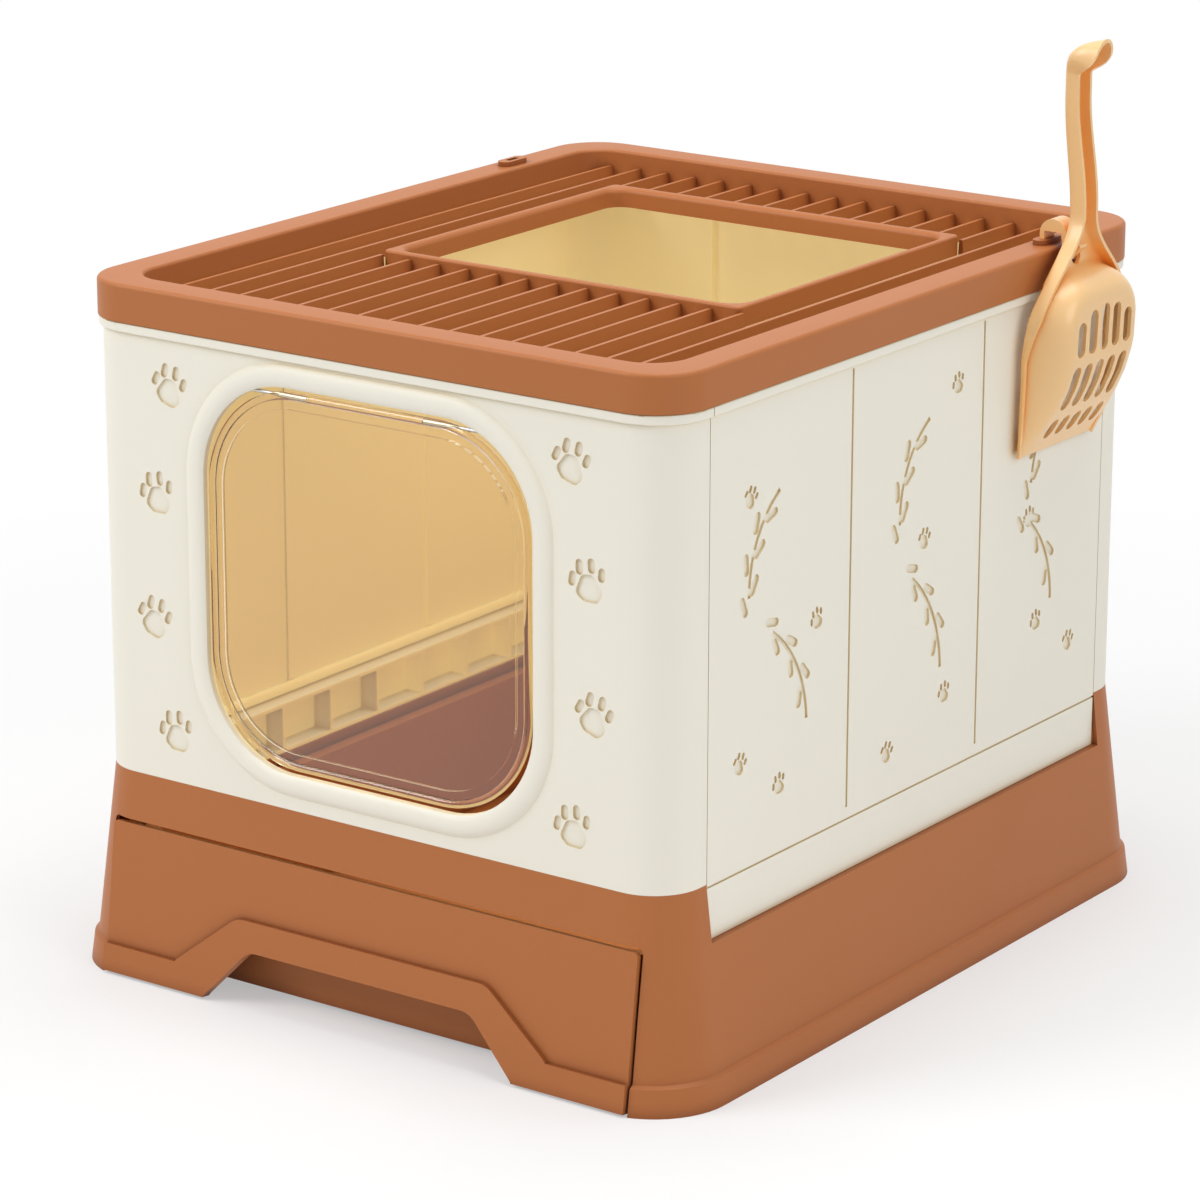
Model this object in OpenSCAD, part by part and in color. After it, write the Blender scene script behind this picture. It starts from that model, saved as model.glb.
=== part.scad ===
// Drawer litter box: a folding-wall cabinet on a base with a pull-out tray.
// Millimetres. X runs left to right along the front, Y runs front to back, Z is up.
// The origin is on the floor, under the middle of the base.

/* [Body] */
// Width of the walls, left to right
body_w = 406; // [390:1:424]
// Depth of the walls, front to back
body_d = 490; // [470:1:510]
// Radius of the upright corners
corner_r = 30; // [26:1:36]
// Thickness of the front and rear walls
wall_t = 3.2; // [2.8:0.1:4]
// Height from the floor to the top of the lid
total_h = 411; // [395:1:430]
// How far the band under the lid stands out from the walls
band_out = 2.4; // [1.5:0.1:3]
// Height of the band under the lid
band_h = 5.6; // [4:0.1:8]

/* [Base] */
// Height of the base, where the front wall stands on it
base_h = 122; // [116:1:130]
// How far the base flares out from top to floor
base_flare = 15; // [10:0.5:20]
// Thickness of the base skirt
base_t = 3; // [2.4:0.1:4]
// Height of the foot flange round the base
foot_h = 18; // [14:0.5:22]
// How far the foot flange stands out from the skirt
foot_out = 2.6; // [1.5:0.1:4]
// Height of the ledge that carries the hinge rails
ledge_z = 89; // [86:0.5:92]
// Thickness of the ledge, guide walls and runners
guide_t = 3; // [2:0.1:4]
// Reach of the bottom runners under the tray
runner_reach = 16; // [10:1:24]

/* [Drawer] */
// Width of the drawer front
front_w = 372; // [352:1:374]
// Height of the drawer front
front_h = 91; // [80:0.5:92]
// Gap round the drawer front
front_gap = 1.5; // [1:0.1:2.5]
// Thickness of the drawer front
front_t = 3.4; // [3:0.1:4]
// Height of the hand notch under the drawer front
notch_h = 35; // [28:1:40]
// Width of the hand notch at its top
notch_top_w = 158; // [120:1:180]
// Width of the hand notch at the floor
notch_foot_w = 222; // [200:1:240]
// Width of the raised border that follows the notch
border_w = 18; // [12:0.5:22]
// Wall thickness of the tray
tray_t = 2.6; // [2:0.1:4]
// Height of the tray walls
tray_h = 80; // [70:1:81]
// Depth of the tray, front to back
tray_d = 476; // [440:1:478]
// Gap between the tray and its guides, each side
tray_gap = 1.5; // [0.8:0.1:3]
// Width of the tray's rolled lip
tray_lip = 6; // [4:0.5:9]

/* [Side walls] */
// Thickness of the side panels
panel_t = 4; // [3.4:0.1:5]
// Length of the side panels, front to back
panel_l = 416; // [400:1:424]
// Gap between a side panel and its neighbours
panel_gap = 0.6; // [0.4:0.1:1]
// Height of the hinge axis of the side panels
hinge_z = 124; // [122:0.5:126]
// Distance from the hinge axis in to out of the panel face
hinge_in = 4.5; // [4.2:0.1:5]
// Radius of the hinge knuckles
knuckle_r = 3.5; // [3:0.1:3.8]
// Radius of the hinge pins
pin_r = 1.5; // [1.2:0.1:1.8]
// Length of each hinge pin
pin_l = 16; // [12:1:20]
// Running clearance of a pin in its knuckle
pin_clear = 0.06; // [0.03:0.01:0.09]
// Width of the grooves that divide a side panel
groove_w = 1.8; // [1.2:0.1:2.6]
// Depth of the grooves
groove_d = 1.2; // [0.6:0.1:1.6]
// Depth of the stiffening flange along the top of a side panel
flange_in = 8; // [5:0.5:10]
// Spacing of the ribs in a hinge rail
rail_rib_pitch = 46; // [35:1:60]

/* [Door] */
// Width of the door opening
door_w = 229; // [200:1:232]
// Height of the door opening
door_h = 225; // [200:1:228]
// Height of the middle of the door opening
door_z = 255.5; // [252:0.5:262]
// Corner radius of the door opening
door_r = 60; // [52:1:62]
// Width of the raised surround
surround_w = 13; // [9:0.5:13]
// How far the surround stands out
surround_out = 3.2; // [2:0.1:4]
// Gap between the flap and the opening
flap_gap = 2.5; // [2.3:0.1:3.5]
// How much rounder the flap's corners are than an even gap would make them
flap_round = 4.5; // [4:0.5:7]
// Radius of the bead round the flap
flap_bead_r = 2.5; // [2.2:0.1:2.7]
// Width of the stepped rim of the flap
flap_rim_w = 10; // [7:0.5:13]
// Thickness of the stepped rim
flap_rim_t = 3; // [2.4:0.1:4]
// Thickness of the clear pane
pane_t = 1.6; // [1.2:0.1:2.2]
// Radius of the flap's pins
flap_pin_r = 1; // [0.9:0.05:1.1]

/* [Lid] */
// How far the lid stands out from the walls
lid_over = 3; // [2.6:0.1:4]
// Height of the lid's skirt
skirt_h = 22; // [19.5:0.5:26]
// Thickness of the lid's plates
lid_t = 3; // [2.4:0.1:3.6]
// Width of the flat rim of the lid
rim_w = 22; // [20:0.5:25]
// Number of slats
slat_count = 17; // [13:2:17]
// Distance from one slat to the next
slat_pitch = 21.2; // [18:0.1:21.5]
// Thickness of a slat at its foot
slat_t = 3.6; // [3:0.1:5]
// Depth of the slats' tops below the rim
slat_drop = 10; // [8:0.5:12]
// Height of a slat
slat_h = 9; // [6:0.5:9]
// Width of the top opening
hole_w = 240; // [200:1:246]
// Length of the top opening, front to back
hole_l = 220; // [180:1:226]
// Distance of the top opening's middle behind the lid's middle
hole_y = 50; // [35:1:56]
// Corner radius of the top opening
hole_r = 12; // [8:1:24]
// Width of the rolled frame at the left and right of the top opening
frame_side = 6; // [5:0.5:9]
// Width of the rolled frame in front of and behind the top opening
frame_end = 7; // [5:0.5:10]
// Depth of the frame's top below the rim
frame_drop = 7; // [4:0.5:8]

/* [Hook and scoop] */
// Distance of the hook behind the lid's middle
hook_y = 152; // [120:1:155]
// Width of the hook's strap
hook_w = 12; // [9:0.5:14]
// Thickness of the hook's strap
hook_t = 3; // [2.4:0.1:3.4]
// Distance of the hook sockets in from the lid's edge
socket_in = 12; // [10:0.5:13]
// Length of a hook socket
socket_l = 24; // [20:1:30]
// Width of a hook socket
socket_w = 9; // [8:0.5:10]
// Height of a hook socket above the rim
socket_h = 3; // [2:0.5:4]
// Clearance of the hook's leg in its socket
socket_clear = 0.3; // [0.2:0.05:0.5]
// Half the span of the hook's bend
hook_bend_r = 7.5; // [7:0.1:10]
// Width of the scoop's bowl
bowl_w = 98; // [84:1:106]
// Depth of the scoop's bowl
bowl_depth = 29; // [24:0.5:32]
// Wall thickness of the scoop
scoop_t = 2.2; // [1.8:0.1:2.6]
// Height of the scoop's digging edge
dig_z = 293; // [285:1:300]
// Height of the top of the bowl
bowl_top_z = 396; // [390:1:398]
// Height of the scoop's top
scoop_top_z = 534; // [510:1:545]
// Width of the scoop's handle
handle_w = 16; // [14:0.5:22]
// Depth of the handle's channel
handle_depth = 10; // [7:0.5:12]
// Width of a sifting slot
sift_w = 7.4; // [5:0.1:8]
// Distance from one sifting slot to the next
sift_pitch = 14.8; // [12:0.1:15.5]

/* [Engraving] */
// Depth of the engraved marks
mark_d = 1.4; // [0.8:0.1:1.6]
// Width of a paw print on the front
paw_w = 25; // [18:0.5:28]
// Width of a small paw print on the sides
paw_small_w = 13; // [9:0.5:16]
// Width of an engraved stem
stem_w = 2.8; // [1.6:0.1:3.2]

/* [Hidden] */
$fn = 64;
hull_fn = 48;
eps = 0.01;
cream = [0.93, 0.91, 0.85];
brown = [0.68, 0.42, 0.25];
tan_c = [0.93, 0.74, 0.48];
amber = [0.86, 0.74, 0.52, 0.45];

half_w = body_w / 2;
half_d = body_d / 2;
lid_under = total_h - lid_t;
skirt_z = total_h - skirt_h;
deck_z = total_h - slat_drop - slat_h;
band_top = skirt_z - 0.3;
panel_top = band_top - 0.6;
fold_y = panel_l / 2;
axis_x = half_w - hinge_in;
rail_top = hinge_z - knuckle_r - 0.3;
flare_angle = atan(base_flare / base_h);
opening_w = front_w + 2 * front_gap;
guide_x = front_w / 2 - 1;
tray_w = 2 * (guide_x - tray_gap);
tray_z = guide_t;
front_face_y = -half_d - base_flare;
flap_y = -half_d + wall_t / 2 + 0.1;
flap_w = door_w - 2 * flap_gap;
flap_h = door_h - 2 * flap_gap;
flap_r = door_r - flap_gap + flap_round;
flap_axis_z = door_z + flap_h / 2 - flap_bead_r;
flap_pin_in = flap_w / 2 - flap_r - 10;
flap_pin_out = door_w / 2 - door_r + sqrt(pow(door_r, 2) - pow(flap_axis_z - door_z - door_h / 2 + door_r, 2)) + 8;
lid_w = body_w + 2 * lid_over;
lid_d = body_d + 2 * lid_over;
lid_r = corner_r + lid_over;
well_w = lid_w - 2 * rim_w;
well_d = lid_d - 2 * rim_w;
well_r = lid_r - rim_w / 2;
frame_w = hole_w + 2 * frame_side;
frame_l = hole_l + 2 * frame_end;
socket_x = lid_w / 2 - socket_in;
slot_w = hook_t + 2 * socket_clear;
slot_l = hook_w - 2 + 2 * socket_clear;
hook_x = socket_x + 2 * hook_bend_r;
hook_bend_z = total_h + 6.5;
scoop_back = lid_w / 2 + 0.8;
bowl_x = scoop_back + bowl_depth;
dig_x = half_w + band_out + 0.3;
heel_z = dig_z + 42;
belly_z = dig_z + 57;
neck_x = hook_x + hook_t / 2 + 1;

// A rectangle with round corners, centred on the origin
module round_rect(w, d, r) {
  square([w - 2 * r, d], center = true);
  square([w, d - 2 * r], center = true);
  for (sx = [-1, 1], sy = [-1, 1])
    translate([sx * (w / 2 - r), sy * (d / 2 - r)]) circle(r);
}

// A rounded bar between two points
module capsule(p, q, w) {
  length = norm(q - p);
  translate(p) circle(w / 2);
  translate(q) circle(w / 2);
  translate(p) rotate(atan2(q[1] - p[1], q[0] - p[0]))
    translate([0, -w / 2]) square([length, w]);
}

// Carries a profile (x is outward, y is up) round a rectangle with round corners
module sweep_round_rect(w, d, r) {
  for (a = [0, 90, 180, 270]) {
    across = a % 180 == 0 ? w : d;
    along = a % 180 == 0 ? d : w;
    rotate(a) {
      translate([across / 2, along / 2 - r, 0])
        rotate([90, 0, 0]) linear_extrude(along - 2 * r) children();
      translate([across / 2 - r, along / 2 - r, 0])
        rotate_extrude(angle = 90) translate([r, 0]) children();
    }
  }
}

// The corner left over when a square edge is rounded with radius r
module edge_cut(r) {
  translate([-r, -r]) difference() {
    square(r + 1);
    circle(r);
  }
}

// A block with round upright corners whose sides lean in towards the top
module leaning_block(w, d, r, grow_low, grow_high, z0, z1) {
  hull() for (sx = [-1, 1], sy = [-1, 1])
    translate([sx * (w / 2 - r), sy * (d / 2 - r), z0])
      cylinder(h = z1 - z0, r1 = r + grow_low, r2 = r + grow_high, $fn = hull_fn);
}

// The sideways growth of the skirt at height z
function flare_at(z) = base_flare * (1 - z / base_h);

// Turns a drawing in x and up so that it faces the front, from depth y outwards
module on_front(y, depth) {
  translate([0, y, 0]) rotate([90, 0, 0]) linear_extrude(depth) children();
}

// Lays a drawing (x is along the front, y is up the slope) on the leaning face of the base
module on_slope(inset, depth) {
  translate([0, front_face_y, 0]) rotate([90 - flare_angle, 0, 0])
    translate([0, 0, -inset - depth]) linear_extrude(depth) children();
}

// The outline of a rounded bar from p to q, w wide
function bar_points(p, q, w, n) = let (a = atan2(q[1] - p[1], q[0] - p[0])) concat(
  [for (i = [0:n]) q + w / 2 * [cos(a - 90 + 180 * i / n), sin(a - 90 + 180 * i / n)]],
  [for (i = [0:n]) p + w / 2 * [cos(a + 90 + 180 * i / n), sin(a + 90 + 180 * i / n)]]);

// One paw print, w wide: four toes, each [from, to, width], over a pad; n sets how round it is
module paw(w, n) {
  s = w / 25;
  toes = [[[-10.6, 0.4], [-9.2, 4.2], 4.6], [[-4.4, 6.4], [-3.8, 10.4], 4.8],
    [[3.8, 6.8], [4.2, 10.6], 4.8], [[9.4, 1.8], [10.4, 5.2], 4.6]];
  for (toe = toes) polygon(s * bar_points(toe[0], toe[1], toe[2], n));
  polygon(s * rounded([[-9.6, -5.2, 3.8], [-3.6, 4.2, 4], [3.8, 4.2, 4], [9.2, -6.8, 4], [4.2, -12, 3.6],
    [-4.8, -10.4, 3.4]], n));
}

// A curved stem of radius r over the angles a0 to a1, with leaves beside it
module sprig(r, a0, a1, leaves) {
  steps = 14;
  stem = [for (i = [0:steps]) let (a = a0 + (a1 - a0) * i / steps) [cos(a), sin(a)]];
  polygon(concat((r + stem_w / 2) * stem,
    [for (i = [steps:-1:0]) (r - stem_w / 2) * stem[i]]));
  for (i = [1:leaves]) {
    a = a0 + (a1 - a0) * i / leaves;
    side = i % 2 == 0 ? 1 : -1;
    at = (r + side * 6.5) * [cos(a), sin(a)];
    lean = side * 22 + a + 90;
    polygon(bar_points(at, at + 8 * [cos(lean), sin(lean)], 5, 4));
  }
}

// The marks on a side panel, drawn from the hinge up; x runs from front to back
module side_marks() {
  third = panel_l / 3;
  for (p = [[-1, 36, 18], [-1.28, 58, -16], [0.24, 44, 12], [-0.2, 24, -14], [0.98, 62, 20], [1.26, 40, -10],
      [-0.74, 122, 24], [0.06, 142, -8], [0.9, 128, 14], [-1.22, 206, -20], [0.3, 226, 16], [1.2, 204, -12]])
    translate([p[0] * third, p[1]]) rotate(p[2]) paw(paw_small_w, 4);
  for (p = [[-1.34, 62, 74, 4, 58, 6], [-0.78, 152, 62, 122, 182, 6], [-0.36, 58, 78, 2, 54, 6],
      [0.3, 160, 60, 120, 184, 6], [0.62, 72, 66, 0, 58, 5], [1.4, 144, 68, 118, 176, 6]])
    translate([p[0] * third, p[1]]) sprig(p[2], p[3], p[4], p[5]);
}

// Where the paw prints stand on the front: x, height and tilt
front_paws = [[139, 356, -8], [150, 292, 10], [154, 218, -10], [140, 152, 8]];

// The upright walls from z0 to z1, as one ring with round corners
module wall_shell(z0, z1) {
  translate([0, 0, z0]) linear_extrude(z1 - z0) difference() {
    round_rect(body_w, body_d, corner_r);
    round_rect(body_w - 2 * wall_t, body_d - 2 * wall_t, corner_r - wall_t);
  }
}

// The rounded band that runs round the walls under the lid
module band() {
  translate([0, 0, band_top - band_h]) sweep_round_rect(body_w, body_d, corner_r) {
    translate([-1, 0]) square([band_out, band_h]);
    translate([-1, 1]) square([1 + band_out, band_h - 2]);
    translate([band_out - 1, 1]) circle(1, $fn = 32);
    translate([band_out - 1, band_h - 1]) circle(1, $fn = 32);
  }
}

// The tongue that plugs a wall into the base
module tongue() {
  tongue_t = 2.5;
  translate([0, 0, base_h - 10]) linear_extrude(18) difference() {
    round_rect(body_w - 2 * wall_t, body_d - 2 * wall_t, corner_r - wall_t);
    round_rect(body_w - 2 * (wall_t + tongue_t), body_d - 2 * (wall_t + tongue_t),
      corner_r - wall_t - tongue_t);
  }
}

// Everything in front of the side panels
module front_half() {
  translate([-body_w, -body_d, 0]) cube([2 * body_w, body_d - fold_y - panel_gap, 2 * total_h]);
}

// The sockets of the hinge pins at the edge of the front wall
module pin_bosses() {
  boss_l = pin_l / 2 + 2;
  for (side = [-1, 1])
    translate([side * axis_x, -fold_y - panel_gap, hinge_z]) rotate([90, 0, 0])
      cylinder(h = boss_l, r = knuckle_r);
}

// A wall with round corners, used for the front and, turned about, for the rear
module end_wall() {
  difference() {
    intersection() {
      union() {
        wall_shell(base_h, lid_under);
        band();
        tongue();
      }
      front_half();
    }
    pin_bosses();
  }
  difference() {
    pin_bosses();
    pin_bores();
    // the bosses stand flat on the base
    translate([-body_w, -body_d, 0]) cube([2 * body_w, body_d, base_h]);
  }
}

// The bores of the hinge pins in the end walls
module pin_bores() {
  for (side = [-1, 1])
    translate([side * axis_x, -fold_y - panel_gap + 1, hinge_z]) rotate([90, 0, 0])
      cylinder(h = pin_l / 2 + 1, r = pin_r);
}

module base_frame() {
  color(brown) {
    difference() {
      union() {
        difference() {
          union() {
            leaning_block(body_w, body_d, corner_r, base_flare, 0, 0, base_h);
            leaning_block(body_w, body_d, corner_r, base_flare + foot_out, flare_at(foot_h) + foot_out,
              0, foot_h - 2);
            leaning_block(body_w, body_d, corner_r, flare_at(foot_h) + foot_out, flare_at(foot_h) - 0.5,
              foot_h - 2, foot_h);
          }
          leaning_block(body_w, body_d, corner_r, base_flare - base_t, -base_t, -eps, base_h + eps);
        }
        intersection() {
          leaning_block(body_w, body_d, corner_r, base_flare - 1, -1, 0, base_h);
          guides();
        }
      }
      // the drawer opening
      translate([0, 0, -1]) on_front(-half_d + 8, 60) translate([0, front_h / 2 + 1])
        round_rect(opening_w, front_h + 2 * front_gap + 2, 4);
      // the bottom of the opening stays square
      translate([-opening_w / 2, -half_d - 52, -1]) cube([opening_w, 60, 20]);
      // the notches for the hinge rails
      for (side = [-1, 1])
        translate([side > 0 ? guide_x - 1 : -half_w - 40, -fold_y - panel_gap, ledge_z])
          cube([half_w + 41 - guide_x, 2 * (fold_y + panel_gap), base_h]);
    }
  }
}

// Guide walls, ledges and runners on both sides of the tray
module guides() {
  front_y = -half_d + 8;
  length = 2 * half_d - 8 - base_t;
  for (side = [0, 1]) mirror([side, 0, 0]) {
    translate([guide_x, front_y, 0]) cube([guide_t, length, ledge_z]);
    translate([guide_x, front_y, ledge_z - guide_t]) cube([half_w, length, guide_t]);
    translate([guide_x - runner_reach, front_y, 0]) cube([runner_reach + guide_t, length, guide_t]);
  }
  // the beam over the drawer
  translate([-guide_x - 1, -half_d, base_h - 20]) cube([2 * guide_x + 2, 8, guide_t]);
}

module hinge_rail() {
  foot_t = 2.4;
  inner_x = guide_x + 1;
  difference() {
    union() {
      translate([half_w - panel_t, -fold_y, ledge_z]) cube([panel_t, panel_l, rail_top - ledge_z]);
      translate([inner_x, -fold_y, ledge_z]) cube([half_w - inner_x, panel_l, foot_t]);
      translate([inner_x, -fold_y, rail_top - foot_t]) cube([half_w - inner_x, panel_l, foot_t]);
      for (i = [-4:4])
        translate([inner_x, i * rail_rib_pitch - foot_t / 2, ledge_z])
          cube([half_w - inner_x, foot_t, rail_top - ledge_z]);
    }
    translate([half_w - groove_d, -fold_y - 1, rail_top - 1]) cube([groove_d + 1, panel_l + 2, 2]);
  }
}
module right_hinge_rail() { color(cream) hinge_rail(); }
module left_hinge_rail() { color(cream) mirror([1, 0, 0]) hinge_rail(); }

module hinge_pins() {
  for (side = [-1, 1])
    translate([axis_x, side * (fold_y + panel_gap / 2), hinge_z]) rotate([90, 0, 0])
      cylinder(h = pin_l - 1, r = pin_r, center = true);
}
module right_hinge_pins() { color("silver") hinge_pins(); }
module left_hinge_pins() { color("silver") mirror([1, 0, 0]) hinge_pins(); }

module side_panel() {
  third = panel_l / 3;
  face_x = half_w;
  low_z = hinge_z - knuckle_r;
  difference() {
    union() {
      translate([face_x - panel_t, -fold_y, hinge_z]) cube([panel_t, panel_l, panel_top - hinge_z]);
      translate([axis_x, -fold_y, low_z]) cube([hinge_in, panel_l, knuckle_r + 1]);
      translate([axis_x, 0, hinge_z]) rotate([90, 0, 0]) cylinder(h = panel_l, r = knuckle_r, center = true);
      intersection() {
        band();
        translate([face_x - 1, -fold_y, 0]) cube([10, panel_l, total_h]);
      }
      translate([face_x - panel_t - flange_in, -fold_y, panel_top - 3]) cube([flange_in + 1, panel_l, 3]);
      // flat ribs behind the grooves
      for (y = [-third / 2, third / 2])
        translate([face_x - panel_t - 1.2, y - 3, hinge_z + 4]) cube([2, 6, panel_top - hinge_z - 5]);
    }
    for (y = [-third / 2, third / 2])
      translate([face_x - groove_d, y - groove_w / 2, hinge_z + 3])
        cube([groove_d + 1, groove_w, band_top - band_h - hinge_z - 5]);
    translate([face_x - mark_d, 0, hinge_z]) rotate([90, 0, 90]) linear_extrude(mark_d + 1) side_marks();
    for (side = [-1, 1])
      translate([axis_x, side * (fold_y + 1), hinge_z]) rotate([side * 90, 0, 0])
        cylinder(h = pin_l / 2 + 2, r = pin_r + pin_clear);
  }
}
module right_side_panel() { color(cream) side_panel(); }
module left_side_panel() { color(cream) mirror([1, 0, 0]) side_panel(); }

module front_panel() {
  boss_x = flap_pin_out - 7;
  color(cream) difference() {
    union() {
      end_wall();
      // the soft raised surround of the door
      intersection() {
        translate([0, -half_d, door_z]) rotate([90, 0, 0])
          sweep_round_rect(door_w, door_h, door_r) surround_profile();
        translate([-half_w, -half_d - 10, 0]) cube([body_w, 10 + wall_t, total_h]);
      }
      for (side = [-1, 1])
        translate([side * (boss_x + 4.5) - 4.5, -half_d + 1, flap_axis_z - 3]) cube([9, 5, 6]);
    }
    on_front(-half_d + wall_t + 3, 20) translate([0, door_z]) round_rect(door_w, door_h, door_r);
    for (side = [-1, 1], p = front_paws)
      on_front(-half_d + mark_d, 3 + mark_d) translate([side * p[0], p[1]]) rotate(p[2]) paw(paw_w, 6);
    for (side = [-1, 1])
      translate([side * (boss_x - 4), flap_y, flap_axis_z]) rotate([0, side * 90, 0])
        cylinder(h = 11.1, r = flap_pin_r);
  }
}

// A low arc of a circle, from just inside the opening outwards
module surround_profile() {
  inside = 1;
  chord = surround_w + inside;
  arc_r = (pow(chord / 2, 2) + pow(surround_out, 2)) / (2 * surround_out);
  intersection() {
    translate([chord / 2 - inside, surround_out - arc_r]) circle(arc_r, $fn = 96);
    translate([-inside / 2, -0.5]) square([chord, surround_out + 1]);
  }
}

module rear_panel() {
  color(cream) {
    mirror([0, 1, 0]) end_wall();
    // upright ribs on the inside of the rear wall
    for (side = [-1, 1])
      translate([side * half_w / 2 - 1.5, half_d - wall_t - 4, base_h + 2])
        cube([3, 4.5, skirt_z - base_h - 12]);
  }
}

module flap() {
  rim = flap_rim_w;
  color(amber) translate([0, flap_y, door_z]) rotate([90, 0, 0]) difference() {
    union() {
      sweep_round_rect(flap_w - 2 * flap_bead_r, flap_h - 2 * flap_bead_r, flap_r - flap_bead_r)
        circle(flap_bead_r, $fn = 32);
      linear_extrude(flap_rim_t, center = true) difference() {
        round_rect(flap_w - 2 * flap_bead_r, flap_h - 2 * flap_bead_r, flap_r - flap_bead_r);
        round_rect(flap_w - 2 * rim, flap_h - 2 * rim, flap_r - rim);
      }
      linear_extrude(pane_t, center = true)
        round_rect(flap_w - rim, flap_h - rim, flap_r - rim / 2);
    }
    for (side = [-1, 1])
      translate([side * flap_pin_in, flap_h / 2 - flap_bead_r, 0]) rotate([0, side * 90, 0])
        cylinder(h = flap_r, r = flap_pin_r + pin_clear);
  }
}

module flap_pins() {
  color("silver") for (side = [-1, 1])
    translate([side * (flap_pin_in + 0.5), flap_y, flap_axis_z]) rotate([0, side * 90, 0])
      cylinder(h = flap_pin_out - flap_pin_in - 0.5, r = flap_pin_r);
}

module lid() {
  color(brown) difference() {
    union() {
      lid_rim();
      lid_frame();
      slats();
      for (side = [-1, 1])
        translate([side * socket_x, hook_y, total_h - 1]) linear_extrude(socket_h + 1)
          capsule([0, (socket_w - socket_l) / 2], [0, (socket_l - socket_w) / 2], socket_w);
    }
    for (side = [-1, 1])
      translate([side * socket_x - slot_w / 2, hook_y - slot_l / 2, deck_z - 1])
        cube([slot_w, slot_l, 3 * skirt_h]);
  }
}

// The lid's skirt, flat rim and inner wall
module lid_rim() {
  difference() {
    union() {
      translate([0, 0, skirt_z]) linear_extrude(skirt_h) difference() {
        round_rect(lid_w, lid_d, lid_r);
        round_rect(body_w + 1.2, body_d + 1.2, corner_r + 0.6);
      }
      translate([0, 0, lid_under]) linear_extrude(lid_t) difference() {
        round_rect(lid_w, lid_d, lid_r);
        round_rect(well_w, well_d, well_r);
      }
      translate([0, 0, deck_z]) linear_extrude(total_h - deck_z) difference() {
        round_rect(well_w + 2 * lid_t, well_d + 2 * lid_t, well_r + lid_t);
        round_rect(well_w, well_d, well_r);
      }
    }
    translate([0, 0, total_h]) sweep_round_rect(lid_w, lid_d, lid_r) edge_cut(2.5);
    translate([0, 0, total_h]) sweep_round_rect(well_w, well_d, well_r) mirror([1, 0]) edge_cut(2);
  }
}

// The frame round the top opening, with its rolled lip
module lid_frame() {
  frame_z = total_h - frame_drop;
  lip_r = frame_side - 2.5;
  difference() {
    translate([0, hole_y, deck_z]) linear_extrude(frame_z - deck_z) difference() {
      round_rect(frame_w, frame_l, 4);
      round_rect(hole_w, hole_l, hole_r);
    }
    translate([0, hole_y, frame_z]) sweep_round_rect(hole_w, hole_l, hole_r) mirror([1, 0]) edge_cut(lip_r);
    translate([0, hole_y, frame_z]) sweep_round_rect(frame_w, frame_l, 4) edge_cut(1.5);
  }
}

// The slats that run front to back and stop at the frame
module slats() {
  top_t = slat_t - 1.2;
  outline = [[-slat_t / 2, 0], [slat_t / 2, 0], [top_t / 2, slat_h], [-top_t / 2, slat_h]];
  last = (slat_count - 1) / 2;
  front_y = -well_d / 2 - 1;
  back_y = well_d / 2 + 1;
  frame_front = hole_y - frame_l / 2 + 1;
  frame_back = hole_y + frame_l / 2 - 1;
  for (i = [-last:last]) {
    x = i * slat_pitch;
    if (abs(x) > frame_w / 2 + slat_t) slat(x, front_y, back_y, outline);
    else {
      slat(x, front_y, frame_front, outline);
      slat(x, frame_back, back_y, outline);
    }
  }
}

module slat(x, y0, y1, outline) {
  translate([x, y1, deck_z]) rotate([90, 0, 0]) linear_extrude(y1 - y0) polygon(outline);
}

module hook() {
  leg_z = lid_under - 4;
  seat_z = total_h + socket_h;
  foot_z = hook_bend_z - 14;
  tip = [hook_x + 8, foot_z + 8];
  solid_from = 1.5;
  color(tan_c) translate([0, hook_y, 0]) rotate([90, 0, 0]) {
    // the strap, seen from the side, goes up from the socket and over
    linear_extrude(hook_w, center = true) {
      translate([socket_x - hook_t / 2, seat_z]) square([hook_t, hook_bend_z - seat_z]);
      translate([hook_x - hook_t / 2, foot_z]) square([hook_t, hook_bend_z - foot_z]);
      intersection() {
        translate([socket_x + hook_bend_r, hook_bend_z]) difference() {
          circle(hook_bend_r + hook_t / 2);
          circle(hook_bend_r - hook_t / 2);
        }
        translate([socket_x - hook_t, hook_bend_z]) square([4 * hook_bend_r, 2 * hook_bend_r]);
      }
      // the top of the bend is solid
      translate([socket_x + hook_bend_r, hook_bend_z]) intersection() {
        circle(hook_bend_r + hook_t / 2);
        translate([-2 * hook_bend_r, solid_from]) square(4 * hook_bend_r);
      }
    }
    // the peg that carries the scoop points out and up
    linear_extrude(hook_w - 4, center = true) capsule([hook_x, foot_z], tip, hook_t);
    linear_extrude(hook_w, center = true) translate([hook_x, foot_z]) circle(hook_t / 2);
    // the leg in the socket
    linear_extrude(hook_w - 2, center = true)
      translate([socket_x - hook_t / 2, leg_z]) square([hook_t, seat_z - leg_z + eps]);
  }
}

// A smooth step from 0 to 1
function ease(t) = t <= 0 ? 0 : t >= 1 ? 1 : (1 - cos(180 * t)) / 2;

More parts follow.
